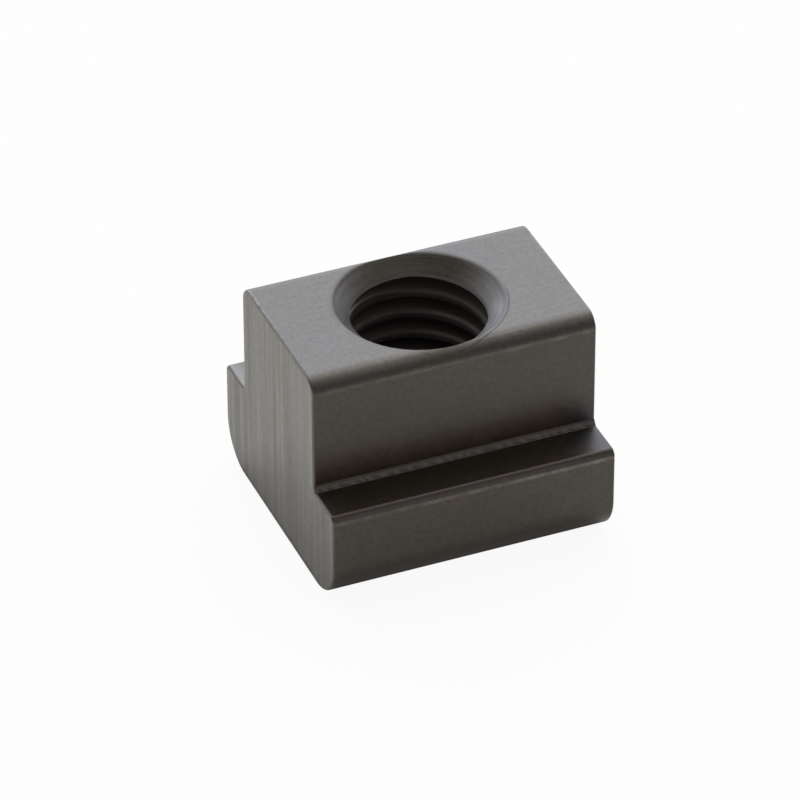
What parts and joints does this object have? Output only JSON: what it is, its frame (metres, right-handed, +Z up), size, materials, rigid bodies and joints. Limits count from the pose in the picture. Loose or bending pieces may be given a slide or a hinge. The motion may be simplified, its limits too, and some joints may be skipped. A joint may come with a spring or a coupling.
{
  "type": "t slot nut",
  "caption": "Short steel T section bar with a countersunk threaded hole through its height, which slides in a T-shaped table slot.",
  "frame": {"origin": "middle of the underside, on the axis of the threaded hole", "axes": "+X along the slot, +Y across the slot, +Z up along the threaded hole towards the neck's top face"},
  "size_m": [0.0184, 0.0176, 0.0144],
  "materials": {
    "blackened_steel": "satin black oxide with fine machining marks"
  },
  "bodies": {
    "root": {"t_slot_nut": "blackened_steel"}
  },
  "joints": []
}
